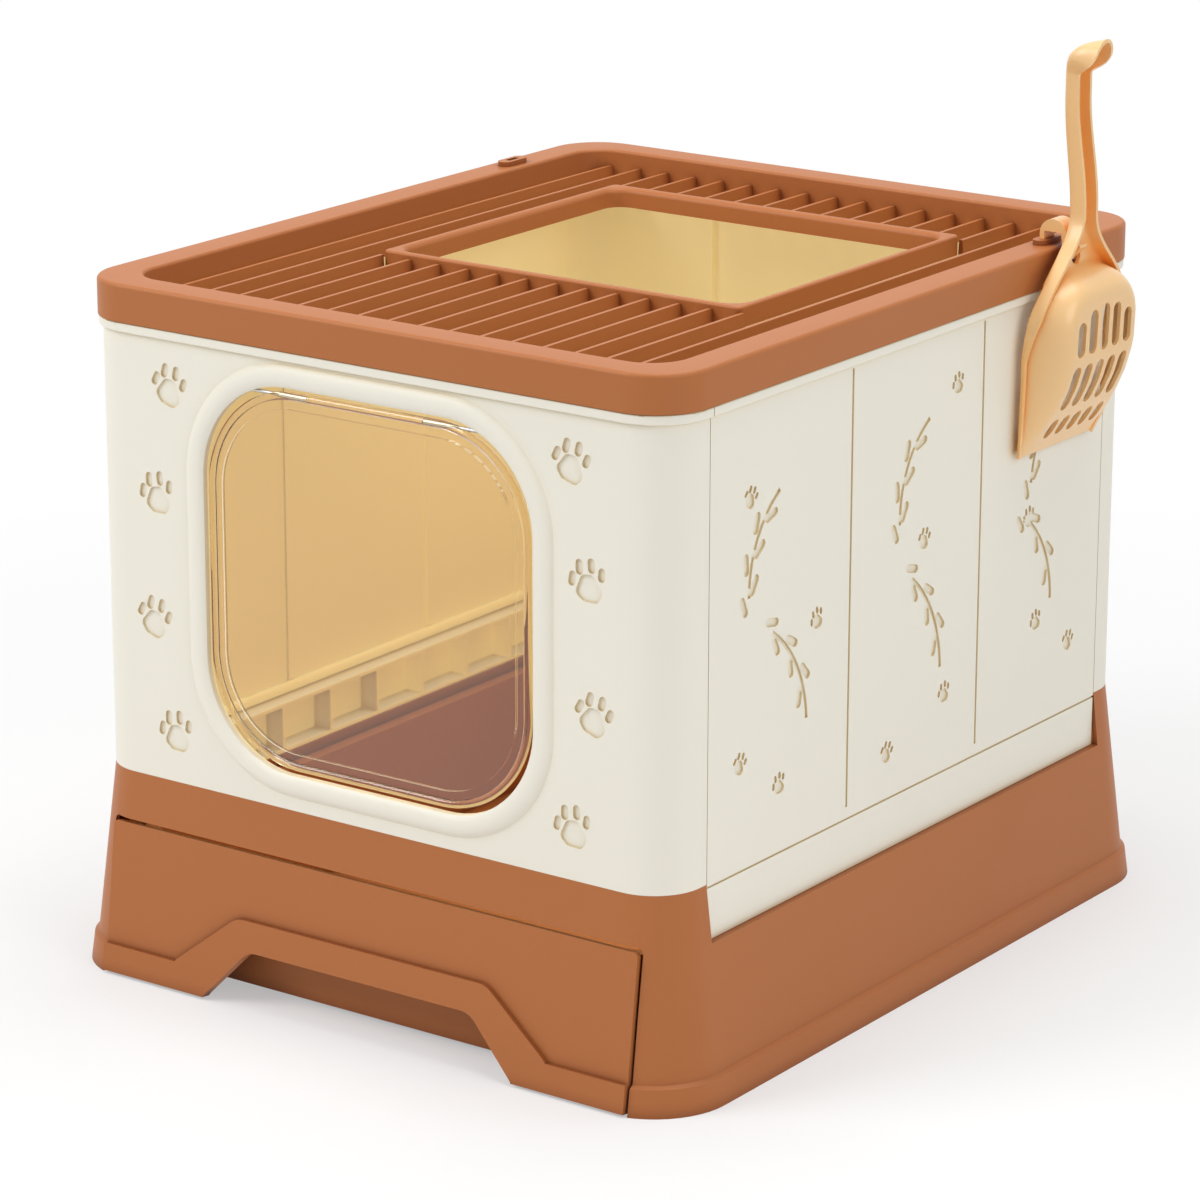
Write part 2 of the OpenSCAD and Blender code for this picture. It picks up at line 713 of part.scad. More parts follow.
// The back line of the scoop's handle seen from the side, as [x, z] points from low to high
shoulder_z = bowl_top_z - 46;
neck_z = bowl_top_z + 2;
spread_low = bowl_top_z - 26;
spread_high = bowl_top_z + 35;
lean_low = bowl_top_z + 34;
lean_high = bowl_top_z + 104;
lean_back = 7;
curl_r = 25;
curl_turn = 80;
curl_z = scoop_top_z - curl_r * sin(180 - curl_turn);
function back_x(z) = scoop_back + (neck_x - scoop_back) * ease((z - shoulder_z) / (neck_z - shoulder_z))
  - lean_back * ease((z - lean_low) / (lean_high - lean_low));
back_line = [for (i = [0:30]) let (z = shoulder_z + (curl_z - shoulder_z) * i / 30) [back_x(z), z]];
curl_line = [for (i = [1:9]) let (a = 180 - curl_turn * i / 9)
  [back_x(curl_z) + curl_r + curl_r * cos(a), curl_z + curl_r * sin(a)]];
handle_line = concat(back_line, curl_line);
function line_normal(line, i) = let (p = line[max(i - 1, 0)], q = line[min(i + 1, len(line) - 1)], d = q - p)
  [d[1], -d[0]] / norm(d);
// how deep the rail can be at height z: it fades out down the sides of the bowl
function rail_depth(z) = scoop_t + 0.2 * (z - shoulder_z);
function band_points(line, depth) = concat(line,
  [for (i = [len(line) - 1:-1:0]) line[i] + min(depth, rail_depth(line[i][1])) * line_normal(line, i)]);

// Half the scoop's width at height z
function scoop_half(z) = handle_w / 2 + (bowl_w / 2 + 1 - handle_w / 2)
  * (1 - ease((z - spread_low) / (spread_high - spread_low)));

// The scoop's outline seen from the side of the bin, drawn in and by inset
module scoop_outline(inset) {
  steps = 24;
  high = spread_high + 1;
  side = [for (i = [0:steps]) let (z = shoulder_z - 1 + (high - shoulder_z + 1) * i / steps)
    [scoop_half(z) - inset, z]];
  polygon(concat(side, [for (i = [steps:-1:0]) [-side[i][0], side[i][1]]]));
  translate([-handle_w / 2 + inset, high - 1]) square([handle_w - 2 * inset, scoop_top_z - high + 20]);
}

// A solid seen from the side as a band along the handle, as wide as the outline
module handle_band(depth) {
  rotate([90, 0, 0]) linear_extrude(bowl_w + 20, center = true) polygon(band_points(handle_line, depth));
}

// The end of the channel, as wide as the handle
module end_wall_band() {
  ends = [handle_line[len(handle_line) - 2], handle_line[len(handle_line) - 1]];
  rotate([90, 0, 0]) linear_extrude(handle_w, center = true) polygon(band_points(ends, handle_depth));
}

// The bowl's rounded body, drawn in by inset
module bowl_body(inset) {
  top_r = 15;
  low_r = 13;
  edge = 1.6;
  hull() {
    for (side = [-1, 1]) {
      translate([bowl_x - top_r, side * (bowl_w / 2 - top_r), bowl_top_z - top_r])
        sphere(top_r - inset, $fn = 32);
      translate([bowl_x - low_r, side * (bowl_w / 2 - low_r), belly_z]) sphere(low_r - inset, $fn = 32);
      translate([scoop_back - inset * 3, side * (bowl_w / 2 - top_r), bowl_top_z - top_r])
        rotate([0, 90, 0]) cylinder(h = 1, r = top_r - inset, $fn = 32);
    }
    translate([dig_x - inset * 2, -bowl_w / 2 + inset, dig_z + inset])
      cube([edge, bowl_w - 2 * inset, 1]);
    translate([scoop_back - inset * 3, -bowl_w / 2 + inset, heel_z]) cube([1, bowl_w - 2 * inset, 1]);
  }
}

// The room in front of the scoop's back, which leans out from the digging edge to clear the lid
module scoop_room() {
  rotate([90, 0, 0]) linear_extrude(2 * bowl_w, center = true)
    polygon([[dig_x, dig_z - 1], [dig_x, dig_z], [scoop_back, heel_z],
      [scoop_back, bowl_top_z + 5], [bowl_x + 5, bowl_top_z + 5], [bowl_x + 5, dig_z - 1]]);
}

// The rows of sifting slots: [lowest, highest] of each row
sift_rows = [[300, 313], [319, 346], [352, 378]];

module scoop() {
  color(tan_c) translate([0, hook_y, 0]) {
    difference() {
      intersection() {
        bowl_body(0);
        scoop_room();
      }
      bowl_body(scoop_t);
      for (row = sift_rows, i = [-2:2])
        translate([half_w + 4, 0, 0]) rotate([90, 0, 90]) linear_extrude(bowl_depth + 10)
          capsule([i * sift_pitch, row[0] + sift_w / 2], [i * sift_pitch, row[1] - sift_w / 2], sift_w);
    }
    difference() {
      union() {
        // the floor of the channel
        intersection() {
          handle_band(scoop_t);
          rotate([90, 0, 90]) linear_extrude(total_h) scoop_outline(0.2);
          translate([0, -bowl_w, bowl_top_z - 6]) cube([total_h, 2 * bowl_w, total_h]);
        }
        // its two walls, which spread and run down the sides of the bowl
        intersection() {
          handle_band(handle_depth);
          rotate([90, 0, 90]) linear_extrude(total_h) difference() {
            scoop_outline(0);
            scoop_outline(scoop_t);
          }
        }
        // the wall that closes the channel at the top
        end_wall_band();
      }
      translate([0, 1 - hook_w / 2, hook_bend_z - 17]) cube([total_h, hook_w - 2, 10.4]);
    }
  }
}

// A polygon's corners rounded: points are [x, y, radius]
function rounded(points, steps = 6) = let (n = len(points)) [for (i = [0:n - 1])
  let (
    here = [points[i][0], points[i][1]],
    before = [points[(i + n - 1) % n][0], points[(i + n - 1) % n][1]],
    after = [points[(i + 1) % n][0], points[(i + 1) % n][1]],
    u = (before - here) / norm(before - here),
    v = (after - here) / norm(after - here),
    half = acos(max(-1, min(1, u * v))) / 2,
    r = points[i][2],
    centre = here + (u + v) / norm(u + v) * r / sin(half),
    p = here + u * r / tan(half) - centre,
    q = here + v * r / tan(half) - centre,
    a0 = atan2(p[1], p[0]),
    turn = (atan2(q[1], q[0]) - a0 + 540) % 360 - 180
  )
  for (k = [0:steps]) centre + r * [cos(a0 + turn * k / steps), sin(a0 + turn * k / steps)]];

// The hand notch as a row of points, drawn out by grow and going down to low
function notch_points(grow, low) = let (
    foot_x = notch_foot_w / 2 + grow * 1.25,
    top_x = notch_top_w / 2 + grow * 0.55,
    step_z = grow > 0 ? foot_h : 1.5
  ) [[-foot_x, low, 0.5], [-foot_x, step_z, 7], [-top_x, notch_h + grow, 14],
    [top_x, notch_h + grow, 14], [foot_x, step_z, 7], [foot_x, low, 0.5]];

module drawer_front() {
  top_v = front_h / cos(flare_angle);
  low_v = 1.5;
  color(brown) {
    difference() {
      union() {
        on_slope(0.2, front_t) translate([-front_w / 2, low_v]) square([front_w, top_v - low_v]);
        // the raised border along the foot and round the hand notch
        on_slope(-foot_out, foot_out + 1) {
          translate([-front_w / 2, low_v]) square([front_w, foot_h - low_v]);
          intersection() {
            polygon(rounded(notch_points(border_w, -20)));
            translate([-front_w / 2, low_v]) square([front_w, top_v - low_v]);
          }
        }
      }
      on_slope(-20, 60) polygon(rounded(notch_points(0, -40)));
      on_slope(-20, 60) for (side = [-1, 1]) translate([side * front_w / 2, top_v])
        rotate(side > 0 ? 0 : 90) edge_cut(3);
    }
    // ribs that reach back to the tray
    difference() {
      for (x = [-150, -50, 50, 150])
        translate([x - 1.2, front_face_y, notch_h + 8]) cube([2.4, base_flare + 7, 34]);
      on_slope(-30, 30 + front_t) translate([-front_w / 2, -20]) square([front_w, 200]);
    }
  }
}

module drawer_tray() {
  outer_w = tray_w - 2 * tray_lip;
  front_y = -half_d + 7;
  r = 16;
  color(brown) translate([0, front_y + tray_d / 2, tray_z]) difference() {
    union() {
      linear_extrude(tray_h) round_rect(outer_w, tray_d - 2 * tray_lip, r);
      translate([0, 0, tray_h - tray_t]) linear_extrude(tray_t) round_rect(tray_w, tray_d, r + tray_lip);
      // stops that keep the tray against its front
      translate([-160, -tray_d / 2, tray_h - 40]) cube([320, tray_lip + 1, tray_t]);
    }
    translate([0, 0, tray_t]) linear_extrude(tray_h)
      round_rect(outer_w - 2 * tray_t, tray_d - 2 * tray_lip - 2 * tray_t, r - tray_t);
  }
}

base_frame();
left_hinge_rail();
right_hinge_rail();
left_hinge_pins();
right_hinge_pins();
left_side_panel();
right_side_panel();
front_panel();
rear_panel();
flap();
flap_pins();
lid();
hook();
scoop();
drawer_tray();
drawer_front();
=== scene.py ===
import math

import bmesh
import bpy
import numpy as np
from mathutils import Matrix, Vector


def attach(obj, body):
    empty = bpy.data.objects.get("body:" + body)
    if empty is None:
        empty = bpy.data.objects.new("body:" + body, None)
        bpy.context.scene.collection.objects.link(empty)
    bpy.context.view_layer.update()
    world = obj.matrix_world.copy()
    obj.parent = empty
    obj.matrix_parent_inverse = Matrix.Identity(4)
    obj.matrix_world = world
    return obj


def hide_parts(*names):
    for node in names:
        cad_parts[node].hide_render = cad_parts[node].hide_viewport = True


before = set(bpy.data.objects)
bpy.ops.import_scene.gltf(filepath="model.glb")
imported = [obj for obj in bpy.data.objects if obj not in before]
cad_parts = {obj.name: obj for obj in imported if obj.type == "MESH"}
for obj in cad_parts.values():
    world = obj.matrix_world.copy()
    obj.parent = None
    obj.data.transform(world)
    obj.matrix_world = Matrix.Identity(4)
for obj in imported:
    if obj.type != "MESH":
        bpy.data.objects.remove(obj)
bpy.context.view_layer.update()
print("frame loaded:", len(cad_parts), "nodes")

mm = 0.001
mergeWithin = 2e-6  # metres; points closer than this are one point


# wraps one output socket, so that sums on masks are written as plain expressions
class Field:
    def __init__(self, shader, socket):
        self.shader, self.socket = shader, socket

    def math(self, operation, *others):
        return self.shader.add("ShaderNodeMath", {"operation": operation}, [self, *others])

    def __add__(self, other): return self.math("ADD", other)
    def __radd__(self, other): return self.math("ADD", other)
    def __sub__(self, other): return self.math("SUBTRACT", other)
    def __rsub__(self, other): return self.shader.add("ShaderNodeMath", {"operation": "SUBTRACT"}, [other, self])
    def __mul__(self, other): return self.math("MULTIPLY", other)
    def __rmul__(self, other): return self.math("MULTIPLY", other)
    def __truediv__(self, other): return self.math("DIVIDE", other)

    def clamp(self):
        return self.shader.add("ShaderNodeClamp", {}, {"Value": self})


class Shader:
    def __init__(self, name):
        self.material = bpy.data.materials.new(name)
        self.material.use_nodes = True
        self.nodes = self.material.node_tree.nodes
        self.links = self.material.node_tree.links
        self.nodes.clear()
        self.end = self.nodes.new("ShaderNodeOutputMaterial")

    # one way to make any node: its type, its settings, then the values or links of its sockets
    def add(self, kind, settings=None, sockets=None, out=0):
        node = self.nodes.new(kind)
        for key, value in (settings or {}).items():
            setattr(node, key, value)
        pairs = sockets.items() if isinstance(sockets, dict) else enumerate(sockets or [])
        for key, value in pairs:
            if isinstance(value, Field):
                self.links.new(value.socket, node.inputs[key])
            elif isinstance(value, (tuple, list)) and len(value) == 3 and node.inputs[key].type == "RGBA":
                node.inputs[key].default_value = (*value, 1)
            else:
                node.inputs[key].default_value = value
        return Field(self, node.outputs[out])

    def place(self):
        return self.add("ShaderNodeTexCoord", out="Object")

    def noise(self, scale, detail):
        return self.add("ShaderNodeTexNoise", {"noise_dimensions": "3D"},
            {"Vector": self.place(), "Scale": scale, "Detail": detail})

    # the sockets are picked by index, because a colour Mix node has several named A and B
    def mix(self, factor, a, b):
        return self.add("ShaderNodeMix", {"data_type": "RGBA"}, {0: factor, 6: a, 7: b}, out=2)

    def bump(self, height, strength, distance):
        return self.add("ShaderNodeBump", {}, {"Strength": strength, "Distance": distance, "Height": height})

    def principled(self, **sockets):
        named = {key.replace("_", " "): value for key, value in sockets.items()}
        return self.add("ShaderNodeBsdfPrincipled", {}, named)

    def finish(self, surface):
        self.links.new(surface.socket, self.end.inputs["Surface"])
        return self.material


# sRGB 0-255 to the linear colour that a shader wants
def tone(r, g, b):
    c = np.array([r, g, b]) / 255
    linear = np.where(c <= 0.04045, c / 12.92, ((c + 0.055) / 1.055) ** 2.4)
    return tuple(float(v) for v in linear)


# the shade colour is the painted shade in recesses and reach how far it is felt; spread and grain are the sheen's
# change from place to place and the mould's texture; the through-light colour is painted on a wall's inner face for
# the light that comes through it, and glow is the strength of that painted glow
plastics = {
    "creamPlastic": {
        "colour": tone(238, 234, 220), "deep": tone(214, 190, 138), "reach": 7 * mm, "rough": 0.42,
        "spread": 0.05, "grain": 0.05, "coat": 0.0, "index": 1.48, "paintedThroughLight": tone(233, 217, 162), "glow": 0.28},
    "brownPlastic": {
        "colour": tone(177, 108, 60), "deep": tone(110, 52, 20), "reach": 10 * mm, "rough": 0.44,
        "spread": 0.06, "grain": 0.06, "coat": 0.0, "index": 1.34, "paintedThroughLight": None},
    "tanPlastic": {
        "colour": tone(239, 197, 140), "deep": tone(250, 176, 86), "reach": 16 * mm, "rough": 0.30,
        "spread": 0.05, "grain": 0.02, "coat": 0.15, "index": 1.45, "paintedThroughLight": None},
}
# sizes of the patterns as noise scales, the grain's height in metres, how strongly the painted shade in recesses
# and the paler clouds show
plasticTexture = {
    "cloud": 9.0, "flow": 26.0, "grain": 1400.0, "grainHeight": 0.2 * mm, "paintedShadeGain": 1.5, "paintedShadeFrom": 0.12,
    "paler": 1.12, "cloudShare": 0.16, "cloudFrom": 0.35, "coatRough": 0.12}
# half the width and half the depth inside which a face can be the inside of a wall, in metres, and how sharply the
# painted through-light starts at the skin and at faces that turn away
wallSkin = {"halfWidth": 0.2012, "halfDepth": 0.2428, "skinGain": 2000, "turnGain": 40.0, "turnFrom": 0.5}


# the mask of the painted through-light: 1 on faces that look towards the upright middle line of the box, 0 on those
# that look away from it. nothing in the outer skin of the walls counts, so grooves and marks keep the outside's
# colour
def facesMiddle(s):
    across = s.add("ShaderNodeVectorMath", {"operation": "MULTIPLY"}, [s.place(), (1, 1, 0)])
    facing = s.add("ShaderNodeTexCoord", out="Normal")
    towards = s.add("ShaderNodeVectorMath", {"operation": "DOT_PRODUCT"}, [across, facing], out="Value")
    reach = s.add("ShaderNodeVectorMath", {"operation": "ABSOLUTE"}, [s.place()])
    skin = (wallSkin["halfWidth"], wallSkin["halfDepth"], 1)
    room = s.add("ShaderNodeVectorMath", {"operation": "SUBTRACT"}, [skin, reach])
    sides = s.add("ShaderNodeSeparateXYZ", {}, [room], out="X")
    ends = s.add("ShaderNodeSeparateXYZ", {}, [room], out="Y")
    gain = wallSkin["skinGain"]
    inward = (towards * -wallSkin["turnGain"] - wallSkin["turnFrom"]).clamp()
    return inward * (sides * gain).clamp() * (ends * gain).clamp()


# moulded plastic: even colour with a painted warm shade in recesses, a fine mould grain and slow sheen changes, and
# for pale plastic a painted glow on the inner faces of its walls
def mouldedPlastic(name, look):
    s = Shader(name)
    fine = plasticTexture
    cloud = s.noise(fine["cloud"], 2.0)
    # painted shade: an ambient occlusion mask tints recesses, creases and hollows towards the darker shade colour
    air = s.add("ShaderNodeAmbientOcclusion", {"samples": 6}, {"Distance": look["reach"]}, out="AO")
    paintedShade = ((1.0 - air) * fine["paintedShadeGain"] - fine["paintedShadeFrom"]).clamp()
    pale = tuple(min(1, c * fine["paler"]) for c in look["colour"])
    clouded = (cloud - fine["cloudFrom"]) * fine["cloudShare"]
    colour = s.mix(clouded, s.mix(paintedShade, look["colour"], look["deep"]), pale)
    grain = s.noise(fine["grain"], 2.0)
    flow = s.noise(fine["flow"], 3.0)
    sockets = {
        "Roughness": (look["rough"] - look["spread"] * 0.5) + look["spread"] * flow,
        "Normal": s.bump(grain, look["grain"], fine["grainHeight"]),
        "IOR": look["index"], "Coat Weight": look["coat"], "Coat Roughness": fine["coatRough"]}
    # painted light: the light that comes through the pale walls is painted on their inner faces as a paler colour
    # and a faint glow
    if look["paintedThroughLight"]:
        inside = facesMiddle(s)
        colour = s.mix(inside, colour, look["paintedThroughLight"])
        sockets["Emission Color"] = s.mix(inside, (0, 0, 0), look["paintedThroughLight"])
        sockets["Emission Strength"] = look["glow"]
    return s.finish(s.principled(Base_Color=colour, **sockets))


clearAmber = {
    "tint": tone(250, 236, 206), "paintedGrazingSheen": tone(255, 250, 240), "grazingSheenBlend": 0.3, "ripple": 18.0,
    "rough": 0.015, "roughSpread": 0.03, "lightThrough": 0.85, "index": 1.46, "coat": 0.4, "coatRough": 0.03}


# clear tinted sheet: refracts what lies behind it, lets most of the light through to the inside, and has a painted
# sheen, its tint turning paler where it is seen at a grazing angle
def clearPlastic(name, look):
    s = Shader(name)
    # painted sheen: the tint is mixed towards near white by how much the sheet is seen edge-on
    grazingSheenMask = s.add("ShaderNodeLayerWeight", {}, {"Blend": look["grazingSheenBlend"]}, out="Facing")
    wave = s.noise(look["ripple"], 2.0)
    shadow = s.add("ShaderNodeLightPath", out="Is Shadow Ray")
    return s.finish(s.principled(Base_Color=s.mix(grazingSheenMask, look["tint"], look["paintedGrazingSheen"]),
        Roughness=look["rough"] + look["roughSpread"] * wave, Alpha=1.0 - look["lightThrough"] * shadow,
        IOR=look["index"], Transmission_Weight=1.0, Coat_Weight=look["coat"], Coat_Roughness=look["coatRough"]))


pinWire = {"dark": (0.55, 0.55, 0.56), "light": (0.7, 0.7, 0.7), "streak": 900.0, "rough": 0.25, "roughSpread": 0.2}


# drawn steel: fine streaks of lighter and rougher metal
def brushedWire(name, look):
    s = Shader(name)
    streak = s.noise(look["streak"], 4.0)
    return s.finish(s.principled(Base_Color=s.mix(streak, look["dark"], look["light"]),
        Roughness=look["rough"] + look["roughSpread"] * streak, Metallic=1.0))


cream = mouldedPlastic("creamPlastic", plastics["creamPlastic"])
brown = mouldedPlastic("brownPlastic", plastics["brownPlastic"])
tan = mouldedPlastic("tanPlastic", plastics["tanPlastic"])
clear = clearPlastic("clearAmber", clearAmber)
wire = brushedWire("pinWire", pinWire)
print("finishes made")


slotFinish = {"cream": cream, "brown": brown, "tan": tan, "clear": clear}
easedEdges = {  # node: [piece name, body, slot, edge radius in mm, segments]
    "base_frame": ["baseFrameShell", "cabinet", "brown", 1.0, 3],
    "left_hinge_rail": ["leftRailMoulding", "cabinet", "cream", 0.4, 2],
    "right_hinge_rail": ["rightRailMoulding", "cabinet", "cream", 0.4, 2],
    "left_side_panel": ["leftWallMoulding", "left_wall", "cream", 0.45, 2],
    "right_side_panel": ["rightWallMoulding", "right_wall", "cream", 0.45, 2],
    "front_panel": ["frontWallMoulding", "cabinet", "cream", 0.6, 3],
    "rear_panel": ["rearWallMoulding", "cabinet", "cream", 0.6, 2],
    "flap": ["doorPane", "door", "clear", 0.5, 3],
    "lid": ["lidMoulding", "lid", "brown", 0.6, 3],
    "hook": ["hookStrap", "hook", "tan", 0.9, 3],
    "drawer_tray": ["trayMoulding", "drawer", "brown", 0.8, 2],
    "drawer_front": ["drawerFrontShell", "drawer", "brown", 1.0, 3],
}


edgeAngle = 32  # degrees; edges that turn by more than this are rounded


# a copy of the CAD node's mesh with its points merged and its edges rounded by a bevel
def easedCopy(node, name, body, slot, radius, segments):
    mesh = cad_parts[node].data.copy()
    for layer in ("custom_normal", "sharp_edge", "sharp_face"):
        if layer in mesh.attributes:
            mesh.attributes.remove(mesh.attributes[layer])
    mesh.name = name
    work = bmesh.new()
    work.from_mesh(mesh)
    bmesh.ops.remove_doubles(work, verts=work.verts, dist=mergeWithin)
    work.to_mesh(mesh)
    work.free()
    mesh.materials.clear()
    mesh.materials.append(slotFinish[slot])
    mesh.shade_smooth()
    piece = bpy.data.objects.new(name, mesh)
    bpy.context.scene.collection.objects.link(piece)
    bevel = piece.modifiers.new("easedEdges", "BEVEL")
    bevel.width, bevel.segments = radius * mm, segments
    bevel.limit_method, bevel.angle_limit = "ANGLE", math.radians(edgeAngle)
    bevel.harden_normals, bevel.use_clamp_overlap = True, True
    bevel.miter_outer = "MITER_ARC"
    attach(piece, body)
    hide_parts(node)


for node, facts in easedEdges.items():
    easedCopy(node, *facts)
for node in ("left_hinge_pins", "right_hinge_pins", "flap_pins"):
    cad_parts[node].data.materials.clear()
    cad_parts[node].data.materials.append(wire)
print("moulded pieces made")


# the scoop, as one sheet with a wall thickness; lengths in mm, seen from the side unless said otherwise
scoopForm = {
    "middleY": 152, "wall": 2.2, "halfBowl": 50, "halfHandle": 8, "halfTip": 11, "tipLength": 15,
    # the back line: digging edge, heel, step out to the neck over the lid, lean of the handle, end curl
    "digX": 205.7, "digZ": 293, "heelX": 206.8, "heelZ": 335, "shoulderZ": 350,
    "neckX": 211.5, "neckZ": 398, "leanBack": 5.3, "leanZ": (430, 500), "spreadZ": (370, 431),
    "curlZ": 512.4, "curlRadius": 20, "curlTurn": 80, "swellOver": 14,
    # rows of points: 1 mm apart up to closeUpTo, then 2 mm, then 1.2 mm round the curl, and the tip's own
    "rowSteps": (1.0, 2.0, 1.2), "closeUpTo": 402, "tipRows": 15, "tipGap": 0.5,
    # the rim stands lipDepth off the sheet at the digging edge, and more with height, by these shares
    "lipDepth": 0.8, "lipGrowth": 0.02, "shoulderGrowth": 0.2, "railDepth": 10,
    "neckFlare": 1.5, "flareZ": (385, 440, 505),
    # the rim of the handle's cupped end, from where the curl starts, at even steps of the turn
    "tipRim": ((10, 0), (14.2, 3.8), (19.2, 7.4), (22.2, 13), (24, 19.4)),
    # a rail's points from rim to floor: share of its depth, and how far in from its outer face
    "railPoints": ((1, 0), (0.62, 0), (0.34, 0.08), (0.14, 0.4), (0.04, 1.0)), "fullInset": 3,
    # points across the floor, and the share by which they crowd towards the rails
    "floorInset": 1.6, "floorColumns": 97, "crowding": 0.4,
    # the belly's face by height, as (z, x), and its outline
    "face": (
        (293, 207.9), (300, 211), (313, 219.2), (320, 223), (333, 229), (346, 232.9), (353, 234.2), (378, 235.2)),
    "bellyHalf": 46.6, "bellyTop": 399, "bellyCorner": 32, "bellyEdge": 14, "bellyPowers": (2.4, 1.8),
    "evenedRows": 113, "evenings": 8, "evenedShare": 0.6,
    # the digging edge's right corner is rounded off from and up to these heights
    "cornerZ": (286, 310), "cornerShare": 0.38,
    # rows of slots as low end, high end, and how much shorter each further column is
    "slotRows": ((301, 313.5, 0), (319.5, 346.5, 0), (352.3, 380.3, 1.77)),
    "slotWidth": 8.8, "slotPitch": 13.1, "slotColumns": 5, "slotCut": (200, 245),
    "hole": {"half": 5.0, "low": 400.5, "high": 410.9, "cut": (206, 217)},
    "creaseAngle": 38,
}


# smooth step from 0 to 1 between low and high, a half turn of a cosine
def eased(t, low, high):
    t = np.clip((t - low) / (high - low), 0, 1)
    return (1 - np.cos(np.pi * t)) / 2


# the back line, as points (x, z) from the digging edge to the tip, and how far each is along the curl.
# it rises from the digging edge, steps out over the lid, leans back and ends in an arc
def scoopBack(form):
    radius, length = form["curlRadius"], form["tipLength"]
    close, wide, round_ = form["rowSteps"]
    change = form["closeUpTo"]
    z = np.concatenate([np.arange(form["digZ"], change, close), np.arange(change, form["curlZ"], wide)])
    x = np.interp(z, [form["digZ"], form["heelZ"]], [form["digX"], form["heelX"]])
    x += (form["neckX"] - form["heelX"]) * eased(z, form["shoulderZ"], form["neckZ"])
    x -= form["leanBack"] * eased(z, *form["leanZ"])
    end = math.radians(form["curlTurn"]) * radius
    tip = end - length + length * np.sin(np.linspace(0, np.pi / 2, form["tipRows"]))
    arc = np.concatenate([np.arange(round_, end - length - form["tipGap"], round_), tip])
    turn = arc / radius
    curl = np.stack([x[-1] + radius * (1 - np.cos(turn)), form["curlZ"] + radius * np.sin(turn)], 1)
    return np.concatenate([np.stack([x, z], 1), curl]), np.concatenate([0 * z, arc]), end


# the floor and the rim, as points (x, z) for each place along the back line: the floor lies a wall inside
# the back line, and the rim stands off it by a depth that grows with height, then follows the tip's rim
def scoopFloorAndRim(form, back, arc):
    straight = np.count_nonzero(arc == 0)
    turn = arc[straight:] / form["curlRadius"]
    along = np.gradient(back, axis=0)
    along[straight:] = np.stack([np.sin(turn), np.cos(turn)], 1)
    along /= np.linalg.norm(along, axis=1)[:, None]
    out = np.stack([along[:, 1], -along[:, 0]], 1)
    height = back[:, 1]
    low, middle, high = form["flareZ"]
    depth = form["lipDepth"] + form["lipGrowth"] * (height - form["digZ"])
    depth += form["shoulderGrowth"] * np.maximum(height - form["shoulderZ"], 0)
    depth = np.clip(depth, 0, form["railDepth"] - form["wall"])
    depth += form["neckFlare"] * eased(height, low, middle) * (1 - eased(height, middle, high))
    floor = back + form["wall"] * out
    rim = floor + depth[:, None] * out
    start = (back[straight - 1, 0], form["curlZ"])
    knots = np.linspace(0, form["curlTurn"], len(form["tipRim"]))
    for k in (0, 1):
        line = np.polyfit(knots, [step[k] for step in form["tipRim"]], len(knots) - 1)
        rim[straight:, k] = start[k] + np.polyval(line, np.degrees(turn))
    return floor, rim


# half the sheet's width at each place: the bowl's, narrowing to the handle's, swelling into the tip's,
# which closes as half an ellipse
def scoopHalfWidth(form, height, arc, end):
    spread = (form["halfBowl"] - form["halfHandle"]) * (1 - eased(height, *form["spreadZ"]))
    swell = (form["halfTip"] - form["halfHandle"]) * eased(arc, 0, form["swellOver"])
    inTip = np.clip((arc - end + form["tipLength"]) / form["tipLength"], 0, 1)
    return (form["halfHandle"] - form["wall"] + spread + swell) * np.sqrt(1 - inTip ** 2)


# how far the belly stands out of the floor: from the floor to its face times (1 - (1 - d)^p)^(1/q), p and q
# being bellyPowers and d the distance inside its round-cornered outline as a share of the edge's width
def bellyRise(form, floor, height, floorY):
    insideY = np.abs(floorY) - (form["bellyHalf"] - form["bellyCorner"])
    insideZ = (height - form["bellyTop"] + form["bellyCorner"])[:, None] + 0 * insideY
    gone = np.hypot(np.maximum(insideY, 0), np.maximum(insideZ, 0))
    gone += np.minimum(np.maximum(insideY, insideZ), 0)
    share = np.clip((form["bellyCorner"] - gone) / form["bellyEdge"], 0, 1)
    face = np.interp(height, *zip(*form["face"]))
    p, q = form["bellyPowers"]
    return np.maximum(face - floor[:, 0], 0)[:, None] * (1 - (1 - share) ** p) ** (1 / q)


